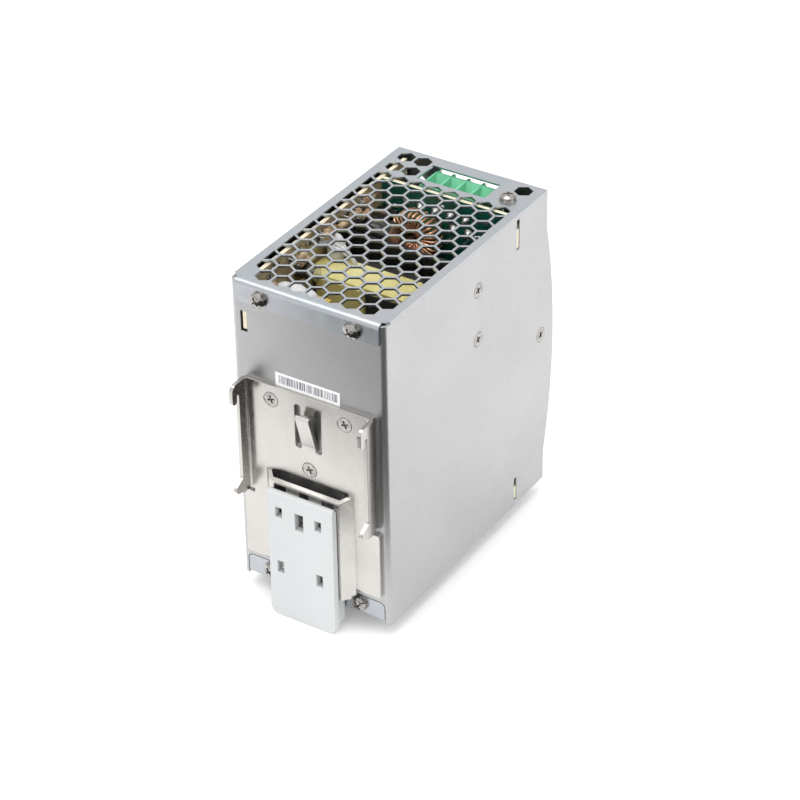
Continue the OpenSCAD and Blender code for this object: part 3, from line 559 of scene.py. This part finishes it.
def wind_toroid():
    """One length of enamelled wire wound round the ring, with its two ends led to the board."""
    lo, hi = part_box("toroid_core")
    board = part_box("main_board")[0].x
    middle = (lo + hi) / 2
    out_r = (hi.x - lo.x) / 2
    build = 5.6 * MM
    wire = 0.42 * MM
    lead_out, lead_apart = 2.2 * MM, 0.6 * MM
    turns = 27
    per_turn = 20
    start, end = math.radians(28), math.radians(332)
    ring_r = out_r - build / 2
    reach_r = build / 2 + wire
    reach_y = (hi.y - lo.y) / 2 + wire
    path = []
    for k in range(turns * per_turn + 1):
        share = k / (turns * per_turn)
        round_ring = start + (end - start) * share
        round_wire = 2 * math.pi * k / per_turn
        outward = squared(math.cos(round_wire))
        # Inside the ring there is less room, so every other turn lies on top of its neighbours.
        inner_layer = 2 * wire if outward < 0 and (k // per_turn) % 2 else 0
        r = ring_r + (reach_r + inner_layer) * outward
        y = reach_y * squared(math.sin(round_wire))
        path.append(middle + Vector((r * math.cos(round_ring), y, -r * math.sin(round_ring))))
    shape = Shape()
    shape.tube(path, wire, 8)
    for tip, side in ((path[0], -1), (path[-1], 1)):
        bend = tip + Vector((lead_out, 0, lead_apart * side))
        run = [tip.lerp(bend, k / 3) for k in range(3)]
        run += [Vector((bend.x + (board - bend.x) * k / 6, bend.y, bend.z)) for k in range(7)]
        shape.tube(run, wire, 8)
    wound = shape.piece("toroid_wire", MADE["copper_wire"], "copper_wire")
    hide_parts("toroid_winding")


def wind_spring():
    """Compression spring of the latch, with closed ends."""
    lo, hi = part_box("latch_spring")
    wire = 0.22 * MM
    coil_r = (hi.x - lo.x) / 2 - wire
    centre = (lo + hi) / 2
    open_turns = 8
    closed = 0.75
    per_turn = 28
    total = open_turns + 2 * closed
    floor, roof = lo.z + wire, hi.z - wire
    path = []
    for k in range(int(total * per_turn) + 1):
        turn = k / per_turn
        if turn < closed:
            share = 2 * wire * turn
        elif turn > total - closed:
            share = (roof - floor) - 2 * wire * (total - turn)
        else:
            free = (roof - floor) - 4 * wire * closed
            share = 2 * wire * closed + free * (turn - closed) / open_turns
        angle = 2 * math.pi * turn
        path.append(Vector((centre.x + coil_r * math.cos(angle), centre.y + coil_r * math.sin(angle),
                            floor + share)))
    shape = Shape()
    shape.tube(path, wire, 8)
    spring = shape.piece("coil_spring", MADE["spring_steel"], "spring_steel")
    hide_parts("latch_spring")
    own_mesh(spring)


def print_sticker_bars():
    """Plain upright bars of mixed widths along the sticker."""
    lo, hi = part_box("serial_sticker")
    draw = random.Random(SEED)
    margin = 1.0 * MM
    bar_widths, gaps = (0.22, 0.22, 0.36, 0.52), (0.2, 0.28, 0.42)
    ink, ink_edge = 0.03 * MM, 0.005 * MM
    shape = Shape()
    x = lo.x + margin
    top, low = hi.z - 0.9 * MM, lo.z + 1.3 * MM
    while x < hi.x - margin - 0.5 * MM:
        width = draw.choice(bar_widths) * MM
        shape.chip(Vector((x + width / 2, hi.y, (top + low) / 2)), (width, ink, top - low), ink_edge)
        x += width + draw.choice(gaps) * MM
    bar_ink = mottled("bar_ink", (0.07, 0.08, 0.11), (0.12, 0.13, 0.17), 900, (0.5, 0.7), 0.001)
    shape.piece("sticker_bars", bar_ink, "sticker_paper", smooth=False)


# ---------------------------------------------------------------- small parts on the boards


def solder_pins():
    """Solder cones with the terminals' pins standing out of them, and smaller joints, on the front board."""
    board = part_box("front_board")
    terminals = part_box("output_contacts")
    ways = 4
    end_margin = 1.3 * MM
    first_row, row_gap, row_shift = 7.2, 5.2, 1.1 * MM
    pitch = (terminals[1].x - terminals[0].x - 2 * end_margin) / (ways - 1)
    cone = [(-0.1 * MM, 1.3 * MM), (0, 1.3 * MM), (0.3 * MM, 1.05 * MM), (0.9 * MM, 0.6 * MM),
            (1.5 * MM, 0.42 * MM), (2.3 * MM, 0.4 * MM), (2.4 * MM, 0.25 * MM)]
    shape = Shape()
    for row in (0, 1):
        for way in range(ways):
            x = terminals[0].x + end_margin + pitch * way - row * row_shift
            z = board[1].z - (first_row + row_gap * row) * MM
            shape.lathe(Vector((x, board[1].y, z)), Y_AXIS, cone, 16)
    draw = random.Random(SEED + 1)
    small_joints = 34
    for _ in range(small_joints):
        x = board[0].x + (6 + 46 * draw.random()) * MM
        z = board[1].z - (3 + 20 * draw.random()) * MM
        r = (0.45 + 0.35 * draw.random()) * MM
        shape.lathe(Vector((x, board[1].y, z)), Y_AXIS,
                    [(-0.05 * MM, r), (0, r), (0.25 * MM, r * 0.8), (0.5 * MM, r * 0.3)], 12)
    shape.piece("solder_points", MADE["tinned_brass"], "tinned_brass")


# Places on the main board, in mm: y from the middle of the case's depth, z down from the board's top edge.
HALF_DEPTH = 56.75
UPPER_ROW = (1.6, 5.6)
UPPER_ROW_SHARE = 0.6
UPPER_ROW_Y = (-26, 49)
FREE_STRETCHES = [(-17.5, -9), (23.2, 27.4), (39.2, 50)]
FREE_DEPTHS = (4, 26)
# Each capacitor: y, depth below the top edge, radius, length.
CAPACITORS = [(-13.4, 12.5, 4, 15), (-13.4, 21.5, 4, 13), (25.3, 10, 2.1, 8), (44.5, 13, 4, 9)]
# Each size of surface part: length, width, height.
CHIP_SIZES = ((1.6, 0.8, 0.5), (2.0, 1.25, 0.7), (3.2, 1.6, 1.1))


def case_middle():
    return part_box("housing_shell")[1].y - HALF_DEPTH * MM


def board_places(seed, count, reach):
    """Seeded places on the main board's component face, clear of the large parts: the face's x, then
    (y, z, generator) for each place. reach is how far a part extends from its place, in mm."""
    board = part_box("main_board")
    draw = random.Random(seed)
    middle = case_middle()
    places = []
    while len(places) < count:
        if draw.random() < UPPER_ROW_SHARE:
            y = (UPPER_ROW_Y[0] + (UPPER_ROW_Y[1] - UPPER_ROW_Y[0]) * draw.random()) * MM
            z = board[1].z - (UPPER_ROW[0] + (UPPER_ROW[1] - UPPER_ROW[0] - reach) * draw.random()) * MM
        else:
            low, high = draw.choice(FREE_STRETCHES)
            y = (low + reach + (high - low - 2 * reach) * draw.random()) * MM
            z = board[1].z - (FREE_DEPTHS[0] + (FREE_DEPTHS[1] - FREE_DEPTHS[0]) * draw.random()) * MM
        places.append((middle + y, z, draw))
    return board[0].x, places


def surface_parts(dark, ceramic, ends):
    """Chips and ceramic blocks, each with a metal termination at both ends."""
    face, places = board_places(SEED + 2, 44, 1.0)
    for y, z, draw in places:
        length, width, height = draw.choice(CHIP_SIZES)
        shape = dark if draw.random() < 0.5 else ceramic
        middle = Vector((face - height / 2 * MM, y, z))
        shape.chip(middle, (height * MM, length * 0.7 * MM, width * MM), 0.06 * MM)
        for side in (-1, 1):
            shift = Vector((0, side * length * 0.425 * MM, 0))
            ends.chip(middle + shift, (height * 1.04 * MM, length * 0.15 * MM, width * 1.04 * MM), 0.04 * MM)


def leaded_parts(bodies, ends):
    """Resistors that lie along the board on bent leads."""
    face, places = board_places(SEED + 3, 13, 2.2)
    r = 0.95 * MM
    waist = 0.84 * r
    body = [(0, 0.3 * MM), (0.25 * MM, r), (1.1 * MM, r), (1.4 * MM, waist),
            (3.8 * MM, waist), (4.1 * MM, r), (4.95 * MM, r), (5.2 * MM, 0.3 * MM)]
    for y, z, draw in places:
        stand = (1.6 + 2.4 * draw.random()) * MM
        bodies.lathe(Vector((face - stand, y - 2.6 * MM, z)), Y_AXIS, body, 16)
        for side in (-1, 1):
            knee = Vector((face - stand, y + side * 3.3 * MM, z))
            lead = [Vector((face - stand, y + side * 2.5 * MM, z)), knee,
                    knee + Vector((0.25 * MM, side * 0.1 * MM, 0)), Vector((face, knee.y, z))]
            ends.tube(lead, 0.28 * MM, 6)


def small_board_parts():
    """Surface and leaded parts on the main board, gathered by material."""
    dark, ceramic, tan, ends = Shape(), Shape(), Shape(), Shape()
    surface_parts(dark, ceramic, ends)
    leaded_parts(tan, ends)
    dark.piece("surface_chips", MADE["black_plastic"], "black_plastic")
    ceramic_tan = mottled("ceramic_tan", (0.20, 0.11, 0.06), (0.42, 0.28, 0.16), 900, (0.3, 0.5), 0.002)
    ceramic.piece("ceramic_blocks", ceramic_tan, "fuse_ceramic")
    lacquer = mottled("resistor_lacquer", (0.34, 0.20, 0.10), (0.62, 0.48, 0.32), 260, (0.2, 0.4), 0.003)
    tan.piece("leaded_resistors", lacquer, "film_yellow")
    ends.piece("part_terminations", MADE["tinned_brass"], "tinned_brass")


def upright_capacitors():
    """Sleeved electrolytic capacitors that stand on the main board beside the toroid."""
    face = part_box("main_board")[0].x
    middle = case_middle()
    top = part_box("main_board")[1].z
    sleeve, lids = Shape(), Shape()
    for y, depth, radius, length in CAPACITORS:
        foot = Vector((face, middle + y * MM, top - depth * MM))
        end = length * MM
        r = radius * MM
        can = [(0.3 * MM, r * 0.9), (0.5 * MM, r), (1.5 * MM, r), (1.9 * MM, r * 0.9), (2.3 * MM, r),
               (end - 0.5 * MM, r), (end - 0.1 * MM, r * 0.94), (end, r * 0.84)]
        lid = [(end - 0.4 * MM, r * 0.82), (end + 0.02 * MM, r * 0.82), (end + 0.06 * MM, r * 0.74),
               (end + 0.06 * MM, r * 0.1)]
        sleeve.lathe(foot, (-1, 0, 0), can, 32)
        lids.lathe(foot, (-1, 0, 0), lid, 32)
    sleeve.piece("capacitor_sleeves", MADE["sleeve_black"], "sleeve_black")
    lids.piece("capacitor_lids", MADE["tinned_brass"], "tinned_brass")


def lead_wires():
    """Three insulated leads that rise off the main board and cross the transformer."""
    lo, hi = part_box("transformer_winding")
    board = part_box("main_board")[0].x
    steps = 16
    white = Shape()
    for k in range(3):
        y = lo.y + (7.4 + 1.7 * k) * MM
        reach = (9 + 2.5 * k) * MM
        path = []
        for step in range(steps + 1):
            share = step / steps
            x = board - reach * math.sin(share * math.pi / 2)
            z = hi.z + (1.0 + 5.2 * math.cos(share * math.pi / 2)) * MM - 0.4 * MM * k
            path.append(Vector((x, y - 1.5 * share * MM, z)))
        white.tube(path, 0.75 * MM, 10)
    sleeve = mottled("lead_sleeve", grey(0.60), grey(0.74), 300, (0.3, 0.5), 0.004)
    white.piece("lead_wires", sleeve, "rotor_white")


def silicone_dab():
    """Uneven dome of white silicone that holds the leads."""
    lo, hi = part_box("transformer_winding")
    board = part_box("main_board")[0].x
    dab = Vector((board - 4.3 * MM, lo.y + 6.6 * MM, hi.z + 1.2 * MM))
    half_x, half_y, tall, sunk = 3.9 * MM, 3.3 * MM, 8.6 * MM, 1.1 * MM
    rings, around = 9, 20
    draw = random.Random(SEED + 4)
    lobes = [(draw.uniform(2, 5), draw.uniform(0, 6.28), draw.uniform(0.03, 0.09)) for _ in range(3)]
    points = []
    for i in range(rings):
        height = i / (rings - 1)
        for k in range(around):
            a = 2 * math.pi * k / around
            swell = 1 + sum(size * math.sin(n * a + at + 3 * height) for n, at, size in lobes)
            r = swell * math.sqrt(max(1 - height * height, 0.0004))
            points.append(dab + Vector((half_x * r * math.cos(a), half_y * r * math.sin(a),
                                        tall * height - sunk)))
    shape = Shape()
    shape.add_rings(points, around)
    shape.piece("silicone_dab", MADE["silicone_white"], "silicone_white")


wind_toroid()
wind_spring()
print_sticker_bars()
solder_pins()
small_board_parts()
upright_capacitors()
lead_wires()
silicone_dab()

# ---------------------------------------------------------------- studio

FLOOR_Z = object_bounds()[0].z
FLOOR_HALF = 6.0
CARD_ABOVE_FLOOR = 1 * MM
CARD_OUTLINE = [(-0.085, -0.02), (-0.085, 0.03), (-0.02, 0.06), (0.03, 0.103), (0.085, 0.115), (0.13, 0.16),
                (0.35, 1.5), (-1.5, 1.5), (-1.5, -0.02)]

bpy.context.scene.view_settings.view_transform = "Standard"


def make_floor():
    mesh = bpy.data.meshes.new("floor")
    signs = [(-1, -1), (1, -1), (1, 1), (-1, 1)]
    mesh.from_pydata([(FLOOR_HALF * x, FLOOR_HALF * y, FLOOR_Z) for x, y in signs], [], [(0, 1, 2, 3)])
    floor = bpy.data.objects.new("floor", mesh)
    bpy.context.scene.collection.objects.link(floor)
    s = Shader("floor_paint", Emission_Strength=0.18)
    s.colour(s.ramp(s.noise(2, 2), [(0.3, grey(0.86)), (0.7, grey(0.88))]))
    s.roughness(s.spread(s.noise(20, 2), 0.75, 0.85))
    mesh.materials.append(s.material)


def make_softbox(name, at, aim, width, height, power):
    data = bpy.data.lights.new(name, "AREA")
    data.shape = "RECTANGLE"
    data.size = width
    data.size_y = height
    data.energy = power
    light = bpy.data.objects.new(name, data)
    light.location = at
    light.rotation_mode = "QUATERNION"
    light.rotation_quaternion = (Vector(aim) - Vector(at)).to_track_quat("-Z", "Y")
    bpy.context.scene.collection.objects.link(light)


def make_dark_card():
    """A black card that only reflections see, on the floor behind the supply, to give the metal contrast."""
    mesh = bpy.data.meshes.new("dark_card")
    height = FLOOR_Z + CARD_ABOVE_FLOOR
    mesh.from_pydata([(x, y, height) for x, y in CARD_OUTLINE], [], [tuple(range(len(CARD_OUTLINE)))])
    card = bpy.data.objects.new("dark_card", mesh)
    bpy.context.scene.collection.objects.link(card)
    s = Shader("card_black")
    s.colour(s.ramp(s.noise(3, 2), [(0.3, grey(0.01)), (0.7, grey(0.02))]))
    s.roughness(s.spread(s.noise(20, 2), 0.8, 0.9))
    mesh.materials.append(s.material)
    card.visible_camera = False
    card.visible_diffuse = False
    card.visible_shadow = False
    card.visible_transmission = False


def make_world():
    world = bpy.data.worlds.new("studio")
    bpy.context.scene.world = world
    world.use_nodes = True
    background = world.node_tree.nodes["Background"]
    background.inputs["Color"].default_value = (1, 1, 1, 1)
    background.inputs["Strength"].default_value = 1.0


make_floor()
make_dark_card()
make_world()
make_softbox("top_softbox", (0.1, 0.2, 1.3), (0, 0, 0), 1.2, 1.2, 12)
make_softbox("side_softbox", (-1.3, -0.1, 0.5), (0, -0.05, 0), 0.9, 1.0, 2)
